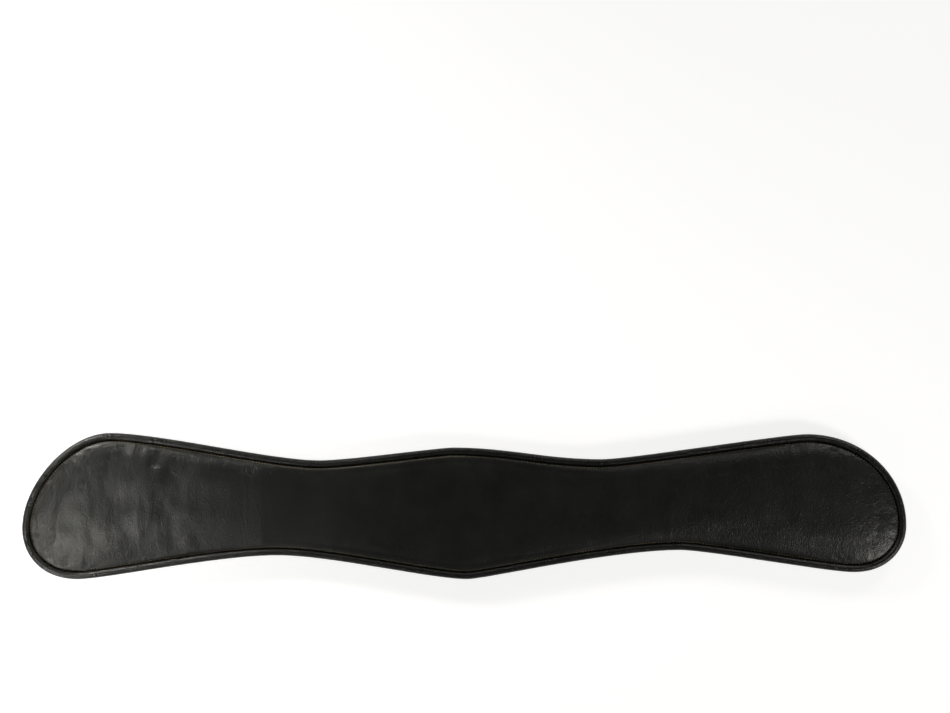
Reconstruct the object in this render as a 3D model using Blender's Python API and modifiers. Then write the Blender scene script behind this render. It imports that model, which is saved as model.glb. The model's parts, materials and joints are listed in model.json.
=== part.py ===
# Contoured saddle girth, lying flat with its lining up.
# Run with: blender --background --python part.py

import math

import bmesh
import bpy
from mathutils import Vector
from mathutils.geometry import interpolate_bezier

for old in list(bpy.data.objects):
    bpy.data.objects.remove(old)

# Driving dimensions in metres. X runs along the girth, +Z is the lining's side.
# The outline: corner points of its smooth curve, each with the length of the handle
# that arrives there and of the one that leaves. Handles follow the direction given.
outlineKnots = [
    (-0.380, -0.019, (0, 1), 0.024, 0.038),
    (-0.304, 0.063, (1, 0), 0.037, 0.041),
    (-0.125, 0.0395, (1, 0), 0.040, 0.026),
    (-0.010, 0.0505, (1, 0), 0.013, 0.049),
    (0.1175, 0.0405, (1, 0), 0.048, 0.026),
    (0.295, 0.062, (1, 0), 0.022, 0.046),
    (0.380, -0.0165, (0, -1), 0.045, 0.021),
    (0.335, -0.057, (-1, 0), 0.029, 0.022),
    (0.1855, -0.038, (-1, 0), 0.023, 0.059),
    (0.0025, -0.063, (-1, 0), 0.015, 0.030),
    (-0.160, -0.0425, (-1, 0), 0.044, 0.053),
    (-0.332, -0.063, (-1, 0), 0.023, 0.031),
]
stepsPerKnot = 7

gap = 0.0003  # between pieces that touch
bendX = 0.174  # the wings bend about lines this far each side of the middle

# Layers, from the buckles up to the lining.
leatherStrap = 0.0022
buckleBarZ = 0.0052
elasticBottom = 0.0055
elasticThick = 0.0024
strapBottom = 0.0082
shellBottom = 0.0107
shellThick = 0.0024
coreThick = 0.0015
foamTop = 0.0212
liningThick = 0.0012
liningTop = foamTop + gap + liningThick

# The rolled edge.
rollRadius = 0.0034
rollWall = 0.0012
rollZ = 0.0156
rollSlit = math.radians(24)  # half of the opening that takes the seam
cordRadius = 0.0019
panelInset = 2 * rollRadius + gap

# The outer strap, its tabs and the two lanes of elastic at each end.
strapY = 0.003
strapWidth = 0.066
strapEnd = 0.214
laneOffset = 0.0185
elasticWidth = 0.0252
elasticStart = 0.183
elasticEnd = 0.271
coreWidth = 0.060
coreEnd = 0.166

# Roller buckles for 25 mm billets.
barX = 0.280
wireRadius = 0.002
frameLength = 0.033  # bar to bar
frameInside = 0.0265
rollerInside = 0.0023
rollerOutside = 0.0032
rollerLength = 0.0242
tongueRadius = 0.0014
tongueOver = 0.0035  # how far the tongue's tip passes the roller's axis
chapeLoop = 0.003  # inner radius of the fold round the bar
chapeLength = 0.034
chapeSlot = 0.0066

# Keepers near the lobe tips.
keeperX = 0.342
keeperWidth = 0.012
keeperLeather = 0.0016
keeperInside = (0.027, 0.0046)

# Centre ring.
ringWire = 0.0018
ringWidth = 0.027
ringBarY = -0.022
ringLeather = 0.0018
ringLoop = 0.0021
ringChapeWidth = 0.017
ringChapeLength = 0.030

collection = bpy.data.collections.new("Saddle girth")
bpy.context.scene.collection.children.link(collection)
guides = bpy.data.collections.new("Guides")
bpy.context.scene.collection.children.link(guides)


def finish(name, color, roughness, metallic=0.0):
    material = bpy.data.materials.new(name)
    material.use_nodes = True
    shader = material.node_tree.nodes["Principled BSDF"]
    shader.inputs["Base Color"].default_value = (*color, 1.0)
    shader.inputs["Roughness"].default_value = roughness
    shader.inputs["Metallic"].default_value = metallic
    return material


def liningLeather():
    return finish("Lining leather", (0.016, 0.0165, 0.0145), 0.42)


def rollLeather():
    return finish("Rolled leather", (0.014, 0.0142, 0.013), 0.3)


def strapLeather():
    return finish("Strap leather", (0.013, 0.0125, 0.0115), 0.46)


def paddingFoam():
    return finish("Padding foam", (0.32, 0.32, 0.31), 0.95)


def coreWebbing():
    return finish("Core webbing", (0.30, 0.28, 0.23), 0.9)


def edgeCord():
    return finish("Edge cord", (0.62, 0.58, 0.48), 0.85)


def blackElastic():
    return finish("Black elastic", (0.012, 0.012, 0.013), 0.8)


def stainlessSteel():
    return finish("Stainless steel", (0.62, 0.62, 0.60), 0.22, 1.0)


finishes = {
    "lining": liningLeather(),
    "roll": rollLeather(),
    "strap": strapLeather(),
    "foam": paddingFoam(),
    "core": coreWebbing(),
    "cord": edgeCord(),
    "elastic": blackElastic(),
    "steel": stainlessSteel(),
}


def addPiece(name, data, material):
    piece = bpy.data.objects.new(name, data)
    data.materials.clear()
    data.materials.append(finishes[material])
    collection.objects.link(piece)
    return piece


def addMesh(name, shape, material, smooth=False):
    bmesh.ops.recalc_face_normals(shape, faces=shape.faces[:])
    data = bpy.data.meshes.new(name)
    shape.to_mesh(data)
    shape.free()
    if smooth:
        data.polygons.foreach_set("use_smooth", [True] * len(data.polygons))
    return addPiece(name, data, material)


def outline(inset=0.0):
    # The girth's edge as points, clockwise seen from above, moved inwards by inset.
    points = []
    for knot, after in zip(outlineKnots, outlineKnots[1:] + outlineKnots[:1]):
        start = Vector(knot[:2])
        end = Vector(after[:2])
        leave = start + Vector(knot[2]) * knot[4]
        arrive = end - Vector(after[2]) * after[3]
        points += interpolate_bezier(start, leave, arrive, end, stepsPerKnot + 1)[:-1]
    moved = []
    for index, point in enumerate(points):
        along = points[(index + 1) % len(points)] - points[index - 1]
        inwards = Vector((along.y, -along.x)).normalized()
        moved.append(Vector(point[:2]) + inwards * inset)
    return moved


def keepPart(shape, at, normal):
    # Cuts the shape with a plane, drops what lies on the normal's side, closes the cut.
    geometry = shape.verts[:] + shape.edges[:] + shape.faces[:]
    cut = bmesh.ops.bisect_plane(
        shape, geom=geometry, plane_co=at, plane_no=normal, clear_outer=True
    )
    edges = [item for item in cut["geom_cut"] if isinstance(item, bmesh.types.BMEdge)]
    bmesh.ops.holes_fill(shape, edges=edges)


def keepBetween(shape, fromX, toX):
    if fromX is not None:
        keepPart(shape, (fromX, 0, 0), (-1, 0, 0))
    if toX is not None:
        keepPart(shape, (toX, 0, 0), (1, 0, 0))


# Each body's stretch of the girth: left wing, centre, right wing.
stretches = {
    "left": (None, -bendX - gap / 2),
    "centre": (-bendX + gap / 2, bendX - gap / 2),
    "right": (bendX + gap / 2, None),
}


def panel(name, material, bottom, top, stretch):
    shape = bmesh.new()
    corners = [shape.verts.new((*point, bottom)) for point in outline(panelInset)]
    base = shape.faces.new(corners)
    raised = bmesh.ops.extrude_face_region(shape, geom=[base])
    tops = [item for item in raised["geom"] if isinstance(item, bmesh.types.BMVert)]
    bmesh.ops.translate(shape, vec=(0, 0, top - bottom), verts=tops)
    keepBetween(shape, *stretches[stretch])
    return addMesh(name, shape, material)


def slab(name, material, spanX, spanY, spanZ, corners=()):
    # A flat piece of strap. Corners names the ends, -1 or 1, that are rounded.
    shape = bmesh.new()
    bmesh.ops.create_cube(shape, size=1)
    size = Vector((spanX[1] - spanX[0], spanY[1] - spanY[0], spanZ[1] - spanZ[0]))
    middle = Vector((sum(spanX) / 2, sum(spanY) / 2, sum(spanZ) / 2))
    bmesh.ops.scale(shape, vec=size, verts=shape.verts[:])
    upright = [
        edge
        for edge in shape.edges
        if abs(edge.verts[0].co.z - edge.verts[1].co.z) > size.z / 2
        and any(edge.verts[0].co.x * side > 0 for side in corners)
    ]
    if upright:
        bmesh.ops.bevel(
            shape, geom=upright, offset=0.006, segments=4, profile=0.5,
            affect="EDGES", material=-1,
        )
    bmesh.ops.translate(shape, vec=middle, verts=shape.verts[:])
    return addMesh(name, shape, material)


def strip(name, material, path, across, width, leather, slot=None, closed=False):
    # A leather strip bent along a path, then given its thickness. A slot is the
    # stretch of the path, by point number, and its width in the strip's middle.
    half = Vector(across) * width / 2
    steps = [-half, half]
    if slot:
        middle = Vector(across) * slot[2] / 2
        steps = [-half, -middle, middle, half]
    shape = bmesh.new()
    rows = [[shape.verts.new(point + step) for point in path] for step in steps]
    count = len(path) if closed else len(path) - 1
    for column, (row, after) in enumerate(zip(rows, rows[1:])):
        for index in range(count):
            if slot and column == 1 and slot[0] <= index < slot[1]:
                continue
            following = (index + 1) % len(path)
            shape.faces.new((row[index], row[following], after[following], after[index]))
    piece = addMesh(name, shape, material, smooth=False)
    thick = piece.modifiers.new("Leather", "SOLIDIFY")
    thick.thickness = leather
    thick.offset = 0
    thick.use_even_offset = True
    return piece


def wire(name, material, path, radius, closed=False):
    data = bpy.data.curves.new(name, "CURVE")
    data.dimensions = "3D"
    data.bevel_depth = radius
    data.bevel_resolution = 2
    data.use_fill_caps = True
    spline = data.splines.new("POLY")
    spline.points.add(len(path) - 1)
    for spot, point in zip(spline.points, path):
        spot.co = (*point, 1)
        spot.radius = 1
    spline.use_cyclic_u = closed
    return addPiece(name, data, material)


def arc(centre, radius, start, end, steps, first, second):
    # Points on an arc in the plane of two directions, angles in degrees.
    points = []
    for step in range(steps + 1):
        angle = math.radians(start + (end - start) * step / steps)
        turn = Vector(first) * math.cos(angle) + Vector(second) * math.sin(angle)
        points.append(Vector(centre) + turn * radius)
    return points


def rollSection(material, outer, inner):
    # The rolled edge's section as a hidden curve: a round bar, or a wall with a slit.
    data = bpy.data.curves.new("Section", "CURVE")
    data.dimensions = "2D"
    if inner:
        start = math.degrees(rollSlit)
        points = arc((0, 0, 0), outer, start, 360 - start, 10, (1, 0, 0), (0, 1, 0))
        points += arc((0, 0, 0), inner, 360 - start, start, 8, (1, 0, 0), (0, 1, 0))
    else:
        points = arc((0, 0, 0), outer, 0, 324, 9, (1, 0, 0), (0, 1, 0))
    spline = data.splines.new("POLY")
    spline.points.add(len(points) - 1)
    for spot, point in zip(spline.points, points):
        spot.co = (*point, 1)
    spline.use_cyclic_u = True
    section = bpy.data.objects.new("Section " + material, data)
    section.hide_render = True
    section.display_type = "WIRE"
    guides.objects.link(section)
    return section


def edgeLoop(material, outer, inner=None):
    # The whole rolled edge, or its cord, as one mesh round the outline.
    section = rollSection(material, outer, inner)
    path = [(*point, rollZ) for point in outline(rollRadius)]
    data = bpy.data.curves.new("Edge loop", "CURVE")
    data.dimensions = "3D"
    data.twist_mode = "Z_UP"
    data.bevel_mode = "OBJECT"
    data.bevel_object = section
    spline = data.splines.new("POLY")
    spline.points.add(len(path) - 1)
    for spot, point in zip(spline.points, path):
        spot.co = (*point, 1)
    spline.use_cyclic_u = True
    loop = bpy.data.objects.new("Edge loop", data)
    collection.objects.link(loop)
    bpy.context.view_layer.update()
    graph = bpy.context.evaluated_depsgraph_get()
    whole = bpy.data.meshes.new_from_object(loop.evaluated_get(graph))
    bpy.data.objects.remove(loop)
    return whole


def edgePieces(prefix, material, outer, inner=None):
    whole = edgeLoop(material, outer, inner)
    for name, stretch, side in (
        ("left", "left", 0),
        ("front", "centre", -1),
        ("rear", "centre", 1),
        ("right", "right", 0),
    ):
        shape = bmesh.new()
        shape.from_mesh(whole)
        bmesh.ops.remove_doubles(shape, verts=shape.verts[:], dist=0.00001)
        keepBetween(shape, *stretches[stretch])
        if side:
            keepPart(shape, (0, 0, 0), (0, side, 0))
        addMesh(prefix + name, shape, material, smooth=True)
    bpy.data.meshes.remove(whole)


def layers():
    for stretch in stretches:
        shellTop = shellBottom + shellThick
        panel("shell_" + stretch, "strap", shellBottom, shellTop, stretch)
        foamBottom = shellTop + gap
        if stretch == "centre":
            foamBottom += coreThick + gap
        panel("foam_" + stretch, "foam", foamBottom, foamTop, stretch)
        panel("lining_" + stretch, "lining", foamTop + gap, liningTop, stretch)
    bottom = shellBottom + shellThick + gap
    slab(
        "core_webbing", "core", (-coreEnd, coreEnd),
        (-coreWidth / 2, coreWidth / 2), (bottom, bottom + coreThick), (-1, 1),
    )


def outerStrap():
    spanY = (strapY - strapWidth / 2, strapY + strapWidth / 2)
    spanZ = (strapBottom, strapBottom + leatherStrap)
    slab("strap_centre", "strap", stretches["centre"], spanY, spanZ)
    slab("strap_left", "strap", (-strapEnd, -bendX - gap / 2), spanY, spanZ, (-1,))
    slab("strap_right", "strap", (bendX + gap / 2, strapEnd), spanY, spanZ, (1,))
    tabZ = (elasticBottom - gap - leatherStrap, elasticBottom - gap)
    tabStart = elasticStart - 0.004
    slab("tab_left", "strap", (-strapEnd, -tabStart), spanY, tabZ, (-1, 1))
    slab("tab_right", "strap", (tabStart, strapEnd), spanY, tabZ, (-1, 1))


def buckleSet(name, side, laneY):
    # One lane at one end: elastic, chape, frame, tongue, roller and keeper.
    def at(x, y, z):
        return Vector((side * x, laneY + y, z))

    outward = (side, 0, 0)
    up = (0, 0, 1)
    spanX = sorted((side * elasticStart, side * elasticEnd))
    slab(
        "elastic_" + name, "elastic", spanX,
        (laneY - elasticWidth / 2, laneY + elasticWidth / 2),
        (elasticBottom, elasticBottom + elasticThick),
    )

    middle = chapeLoop + leatherStrap / 2
    flatZ = elasticBottom - gap - leatherStrap / 2
    path = [at(barX - chapeLength, 0, buckleBarZ + middle)]
    path.append(at(barX - 0.012, 0, buckleBarZ + middle))
    path += arc(at(barX, 0, buckleBarZ), middle, 90, -90, 8, outward, up)
    path += [at(barX - 0.005, 0, buckleBarZ - middle + 0.0006)]
    path += [at(barX - 0.011, 0, flatZ - 0.0004), at(barX - 0.014, 0, flatZ)]
    path += [at(barX - chapeLength, 0, flatZ)]
    slotStart = 1
    slotEnd = len(path) - 3
    strip(
        "chape_" + name, "strap", path, (0, 1, 0), elasticWidth, leatherStrap,
        slot=(slotStart, slotEnd, chapeSlot),
    )

    around = wireRadius + gap + tongueRadius
    rollerZ = buckleBarZ - around + tongueRadius + gap + rollerOutside
    rollerX = barX + frameLength
    halfWide = frameInside / 2 + wireRadius
    bend = 0.003
    frame = []
    for cornerX, cornerY, start in (
        (rollerX, halfWide, 0),
        (barX, halfWide, 90),
        (barX, -halfWide, 180),
        (rollerX, -halfWide, 270),
    ):
        inX = bend if cornerX == barX else -bend
        inY = -bend if cornerY > 0 else bend
        frame += arc(
            at(cornerX + inX, cornerY + inY, 0), bend,
            start, start + 90, 3, outward, (0, 1, 0),
        )
    for point in frame:
        share = (side * point.x - barX) / frameLength
        point.z = buckleBarZ + (rollerZ - buckleBarZ) * share
    wire("buckle_frame_" + name, "steel", frame, wireRadius, closed=True)

    tongue = arc(at(barX, 0, buckleBarZ), around, -30, 270, 10, outward, up)
    tongue.append(at(rollerX + tongueOver, 0, buckleBarZ - around))
    wire("buckle_tongue_" + name, "steel", tongue, tongueRadius)

    roller("buckle_roller_" + name, at(rollerX, 0, rollerZ))
    keeper("keeper_" + name, at(keeperX, 0, 0))


def roller(name, centre):
    # A tube, turned from its section about the roller's axis.
    data = bpy.data.meshes.new(name)
    shape = bmesh.new()
    half = rollerLength / 2
    corners = [
        (rollerInside, -half), (rollerOutside, -half),
        (rollerOutside, half), (rollerInside, half),
    ]
    verts = [shape.verts.new((across, along, 0)) for across, along in corners]
    edges = [shape.edges.new((verts[i], verts[(i + 1) % 4])) for i in range(4)]
    bmesh.ops.spin(
        shape, geom=verts + edges, cent=(0, 0, 0), axis=(0, 1, 0),
        angle=2 * math.pi, steps=16, use_merge=True,
    )
    bmesh.ops.remove_doubles(shape, verts=shape.verts[:], dist=0.00001)
    bmesh.ops.recalc_face_normals(shape, faces=shape.faces[:])
    shape.to_mesh(data)
    shape.free()
    data.polygons.foreach_set("use_smooth", [True] * len(data.polygons))
    piece = addPiece(name, data, "steel")
    piece.location = centre
    return piece


def keeper(name, at):
    wide, high = keeperInside
    top = strapBottom + leatherStrap - keeperLeather / 2
    halfY = (wide + keeperLeather) / 2
    low = top - high - keeperLeather
    bend = 0.0012
    path = []
    for cornerY, cornerZ, start in (
        (halfY, top, 90), (halfY, low, 0), (-halfY, low, -90), (-halfY, top, -180),
    ):
        inY = -bend if cornerY > 0 else bend
        inZ = -bend if cornerZ == top else bend
        centre = at + Vector((0, cornerY + inY, cornerZ + inZ))
        path += arc(centre, bend, start, start - 90, 3, (0, 1, 0), (0, 0, 1))
    strip(name, "strap", path, (1, 0, 0), keeperWidth, keeperLeather, closed=True)


def centreRing():
    middle = ringLoop + ringLeather / 2
    ringZ = ringLoop + ringLeather
    top = ringZ + middle
    flatZ = top - ringLeather - gap
    out = (0, -1, 0)
    up = (0, 0, 1)
    centre = Vector((0, ringBarY, ringZ))
    path = [Vector((0, ringBarY + ringChapeLength, top)), Vector((0, ringBarY, top))]
    path += arc(centre, middle, 90, -90, 8, out, up)[1:]
    path += [Vector((0, ringBarY + 0.004, ringZ - middle + 0.0006))]
    path += [Vector((0, ringBarY + 0.010, flatZ - 0.0004))]
    path += [Vector((0, ringBarY + 0.013, flatZ))]
    path += [Vector((0, ringBarY + ringChapeLength, flatZ))]
    strip("ring_chape", "strap", path, (1, 0, 0), ringChapeWidth, ringLeather)

    half = ringWidth / 2 - ringWire
    bend = 0.0025
    ring = []
    ring += arc((half - bend, ringBarY - bend, ringZ), bend, 90, 0, 3, (1, 0, 0), (0, 1, 0))
    ring += arc((0, ringBarY - 0.007, ringZ), half, 0, -180, 14, (1, 0, 0), (0, 1, 0))
    ring += arc((-half + bend, ringBarY - bend, ringZ), bend, 180, 90, 3, (1, 0, 0), (0, 1, 0))
    wire("centre_ring", "steel", ring, ringWire, closed=True)


layers()
outerStrap()
edgePieces("edge_roll_", "roll", rollRadius, rollRadius - rollWall)
edgePieces("edge_cord_", "cord", cordRadius)
for sideName, side in (("left", -1), ("right", 1)):
    for laneName, lane in (("front", 1), ("rear", -1)):
        buckleSet(sideName + "_" + laneName, side, strapY + lane * laneOffset)
centreRing()
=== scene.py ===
import json
import math

import bmesh
import bpy
from mathutils import Matrix, Vector, kdtree, noise
from mathutils.geometry import interpolate_bezier


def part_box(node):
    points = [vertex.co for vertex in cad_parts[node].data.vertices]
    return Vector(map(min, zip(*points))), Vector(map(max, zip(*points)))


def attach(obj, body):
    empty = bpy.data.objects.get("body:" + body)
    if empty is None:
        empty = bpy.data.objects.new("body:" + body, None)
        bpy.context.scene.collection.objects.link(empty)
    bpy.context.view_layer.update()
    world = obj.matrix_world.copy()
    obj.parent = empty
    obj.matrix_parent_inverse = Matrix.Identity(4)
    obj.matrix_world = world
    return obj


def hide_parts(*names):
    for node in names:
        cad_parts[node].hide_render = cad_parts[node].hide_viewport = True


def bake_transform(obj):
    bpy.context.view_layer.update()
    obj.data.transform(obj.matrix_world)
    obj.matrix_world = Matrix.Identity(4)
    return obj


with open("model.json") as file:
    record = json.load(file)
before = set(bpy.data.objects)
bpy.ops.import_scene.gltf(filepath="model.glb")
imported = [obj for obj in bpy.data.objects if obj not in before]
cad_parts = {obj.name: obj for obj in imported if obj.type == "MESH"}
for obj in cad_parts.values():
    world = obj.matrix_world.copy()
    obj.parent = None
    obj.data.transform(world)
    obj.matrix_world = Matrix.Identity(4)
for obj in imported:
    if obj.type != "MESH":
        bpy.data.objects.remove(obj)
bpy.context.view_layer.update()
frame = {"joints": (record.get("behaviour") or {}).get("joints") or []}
print("Girth frame loaded")

scene = bpy.context.scene
scene.view_settings.view_transform = "Standard"

# Camera, straight above the lining
view = {
    "place": (0.0092, 0.1285, 2.283),
    "lens": 100,
    "sensor": 36,
}

cameraData = bpy.data.cameras.new("Camera")
cameraData.lens = view["lens"]
cameraData.sensor_width = view["sensor"]
cameraData.clip_start = 0.05
cameraData.clip_end = 30
camera = bpy.data.objects.new("Camera", cameraData)
camera.location = view["place"]
scene.collection.objects.link(camera)
scene.camera = camera

# The girth's outline: each knot's place, direction, and handles before and after
girth = {
    "knots": [
        (-0.380, -0.019, (0, 1), 0.024, 0.038),
        (-0.304, 0.063, (1, 0), 0.037, 0.041),
        (-0.125, 0.0395, (1, 0), 0.040, 0.026),
        (-0.010, 0.0505, (1, 0), 0.013, 0.049),
        (0.1175, 0.0405, (1, 0), 0.048, 0.026),
        (0.295, 0.062, (1, 0), 0.022, 0.046),
        (0.380, -0.0165, (0, -1), 0.045, 0.021),
        (0.335, -0.057, (-1, 0), 0.029, 0.022),
        (0.1855, -0.038, (-1, 0), 0.023, 0.059),
        (0.0025, -0.063, (-1, 0), 0.015, 0.030),
        (-0.160, -0.0425, (-1, 0), 0.044, 0.053),
        (-0.332, -0.063, (-1, 0), 0.023, 0.031),
    ],
    "bendBefore": 0.030,  # the leather flexes this far each side of a bend line
    "bendAfter": 0.006,
}
bendJoint = next(j for j in frame["joints"] if j["name"] == "right_wing_bend")
bendX = bendJoint["pos_m"][0]
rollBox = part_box("edge_roll_left")
rollZ = (rollBox[0][2] + rollBox[1][2]) / 2
rollRadius = (rollBox[1][2] - rollBox[0][2]) / 2


def outline(inset, z, spacing):
    # The girth's edge moved inwards, as evenly spaced points
    dense = []
    knots = girth["knots"]
    for knot, after in zip(knots, knots[1:] + knots[:1]):
        start = Vector(knot[:2])
        end = Vector(after[:2])
        leave = start + Vector(knot[2]) * knot[4]
        arrive = end - Vector(after[2]) * after[3]
        dense += interpolate_bezier(start, leave, arrive, end, 61)[:-1]
    moved = []
    for index, point in enumerate(dense):
        along = dense[(index + 1) % len(dense)] - dense[index - 1]
        inwards = Vector((along.y, -along.x)).normalized()
        moved.append(Vector(point[:2]) + inwards * inset)
    return evenly([(*point, z) for point in moved], spacing, closed=True)


def evenly(points, spacing, closed=False):
    # The same line as points a fixed distance apart
    points = [Vector(point) for point in points]
    if closed:
        points.append(points[0].copy())
    lengths = [0.0]
    for point, after in zip(points, points[1:]):
        lengths.append(lengths[-1] + (after - point).length)
    count = max(round(lengths[-1] / spacing), 1)
    line = []
    index = 0
    for number in range(count + (not closed)):
        at = lengths[-1] * number / count
        while index < len(points) - 2 and lengths[index + 1] < at:
            index += 1
        share = (at - lengths[index]) / (lengths[index + 1] - lengths[index])
        line.append(points[index].lerp(points[index + 1], min(share, 1)))
    return line


edgeStep = 0.0008


def edgeDistance():
    points = outline(0, 0, edgeStep)
    tree = kdtree.KDTree(len(points))
    for index, point in enumerate(points):
        tree.insert(point, index)
    tree.balance()
    return tree, len(points)


edgeTree, edgeCount = edgeDistance()


def soft(value, low, high):
    share = min(max((value - low) / (high - low), 0), 1)
    return share * share * (3 - 2 * share)


# Pieces and meshes
def addObject(name, data):
    piece = bpy.data.objects.new(name, data)
    scene.collection.objects.link(piece)
    return piece


def meshOf(source):
    # The object's shape with its modifiers applied, as a new mesh
    bpy.context.view_layer.update()
    graph = bpy.context.evaluated_depsgraph_get()
    return bpy.data.meshes.new_from_object(source.evaluated_get(graph))


def applied(piece):
    # Replaces the piece's mesh with the one its modifiers make
    data = meshOf(piece)
    piece.modifiers.clear()
    piece.data = data
    return piece


def cutAt(shape, at, normal, drop=False, close=True):
    geometry = shape.verts[:] + shape.edges[:] + shape.faces[:]
    cut = bmesh.ops.bisect_plane(
        shape, geom=geometry, dist=0.000001, plane_co=at, plane_no=normal,
        clear_outer=drop,
    )
    if drop and close:
        rim = [item for item in cut["geom_cut"] if isinstance(item, bmesh.types.BMEdge)]
        bmesh.ops.holes_fill(shape, edges=rim)


def settle(name, shape, material, sharpAngle=None):
    # A finished bmesh becomes a smooth-shaded piece with its place stored on it
    data = bpy.data.meshes.new(name)
    shape.to_mesh(data)
    shape.free()
    return settleMesh(name, data, material, sharpAngle)


def edgePlaces(data):
    # Place along the girth's edge, wound on a circle so that it never jumps, and
    # the distance in from the edge
    places = []
    around = edgeCount * edgeStep / (2 * math.pi)
    for vertex in data.vertices:
        _, index, inset = edgeTree.find((vertex.co.x, vertex.co.y, 0))
        angle = 2 * math.pi * index / edgeCount
        places += [around * math.cos(angle), around * math.sin(angle), inset]
    return places


def wornEdges(data):
    # How sharply the surface turns at each point, where leather wears first
    shape = bmesh.new()
    shape.from_mesh(data)
    worn = []
    for vertex in shape.verts:
        turn = max((edge.calc_face_angle(0) for edge in vertex.link_edges), default=0)
        worn.append(soft(turn, 0.2, 0.45))
    shape.free()
    stored = data.attributes.new("wear", "FLOAT", "POINT")
    stored.data.foreach_set("value", worn)


def settleMesh(name, data, material, sharpAngle=None):
    data.name = name
    data.polygons.foreach_set("use_smooth", [True] * len(data.polygons))
    if sharpAngle:
        data.set_sharp_from_angle(angle=math.radians(sharpAngle))
        wornEdges(data)
    places = [value for vertex in data.vertices for value in vertex.co]
    stored = data.attributes.new("restPlace", "FLOAT_VECTOR", "POINT")
    stored.data.foreach_set("vector", places)
    edge = data.attributes.new("edgePlace", "FLOAT_VECTOR", "POINT")
    edge.data.foreach_set("vector", edgePlaces(data))
    data.materials.clear()
    data.materials.append(material)
    return addObject(name, data)


def halves(name, data, material, sharpAngle=None):
    # A piece that crosses both bend lines, parted at the girth's middle
    made = {}
    for sideName, side in (("left", -1), ("right", 1)):
        shape = bmesh.new()
        shape.from_mesh(data)
        cutAt(shape, (0, 0, 0), (-side, 0, 0), drop=True)
        for edge in shape.edges:
            if all(abs(vertex.co.x) < 0.00001 for vertex in edge.verts):
                edge.smooth = False
        made[sideName] = settle(name + "_" + sideName, shape, material, sharpAngle)
    return made


def bendWithWing(piece):
    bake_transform(piece)


# Finishes
def addNode(tree, kind, place=(0, 0), **settings):
    made = tree.nodes.new("ShaderNode" + kind)
    made.location = place
    for key, value in settings.items():
        setattr(made, key, value)
    return made


def setInputs(made, **values):
    for key, value in values.items():
        made.inputs[key].default_value = value
    return made


def newGroup(name, inputs, outputs):
    tree = bpy.data.node_groups.new(name, "ShaderNodeTree")
    for label, kind, value in inputs:
        socket = tree.interface.new_socket(label, in_out="INPUT", socket_type=kind)
        if value is not None:
            socket.default_value = value
    for label, kind in outputs:
        tree.interface.new_socket(label, in_out="OUTPUT", socket_type=kind)
    entry = tree.nodes.new("NodeGroupInput")
    entry.location = (-900, 0)
    leave = tree.nodes.new("NodeGroupOutput")
    leave.location = (600, 0)
    return tree, entry, leave


def mathNode(tree, operation, first, second, place=(0, 0), clamp=False):
    made = addNode(tree, "Math", place, operation=operation, use_clamp=clamp)
    for socket, value in zip(made.inputs, (first, second)):
        if isinstance(value, (int, float)):
            socket.default_value = value
        elif value is not None:
            tree.links.new(value, socket)
    return made.outputs[0]


def stretchBy(tree, vector, scale, place=(0, 0)):
    made = addNode(tree, "Mapping", place)
    made.inputs["Scale"].default_value = scale
    tree.links.new(vector, made.inputs["Vector"])
    return made.outputs["Vector"]


def leatherGrainGroup():
    # Fine pebbled grain with pores, and a slow mottling
    tree, entry, leave = newGroup(
        "Leather grain",
        [
            ("Place", "NodeSocketVector", None),
            ("Pebbles per metre", "NodeSocketFloat", 1500.0),
            ("Mottling per metre", "NodeSocketFloat", 45.0),
        ],
        [("Height", "NodeSocketFloat"), ("Mottling", "NodeSocketFloat")],
    )
    pebbles = addNode(tree, "TexVoronoi", (-600, 200), feature="SMOOTH_F1")
    pebbles.inputs["Smoothness"].default_value = 0.5
    grit = addNode(tree, "TexNoise", (-600, -100))
    setInputs(grit, Detail=4.0, Roughness=0.65)
    slow = addNode(tree, "TexNoise", (-600, -400))
    setInputs(slow, Detail=5.0, Roughness=0.6)
    links = tree.links
    for made in (pebbles, grit, slow):
        links.new(entry.outputs["Place"], made.inputs["Vector"])
    links.new(entry.outputs["Pebbles per metre"], pebbles.inputs["Scale"])
    half = mathNode(tree, "MULTIPLY", entry.outputs["Pebbles per metre"], 0.45, (-800, -100))
    links.new(half, grit.inputs["Scale"])
    links.new(entry.outputs["Mottling per metre"], slow.inputs["Scale"])
    cells = mathNode(tree, "MULTIPLY", pebbles.outputs["Distance"], 0.6, (-300, 200))
    rough = mathNode(tree, "MULTIPLY", grit.outputs["Fac"], 0.7, (-300, 0))
    links.new(mathNode(tree, "ADD", cells, rough, (0, 100)), leave.inputs["Height"])
    links.new(slow.outputs["Fac"], leave.inputs["Mottling"])
    return tree


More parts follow.
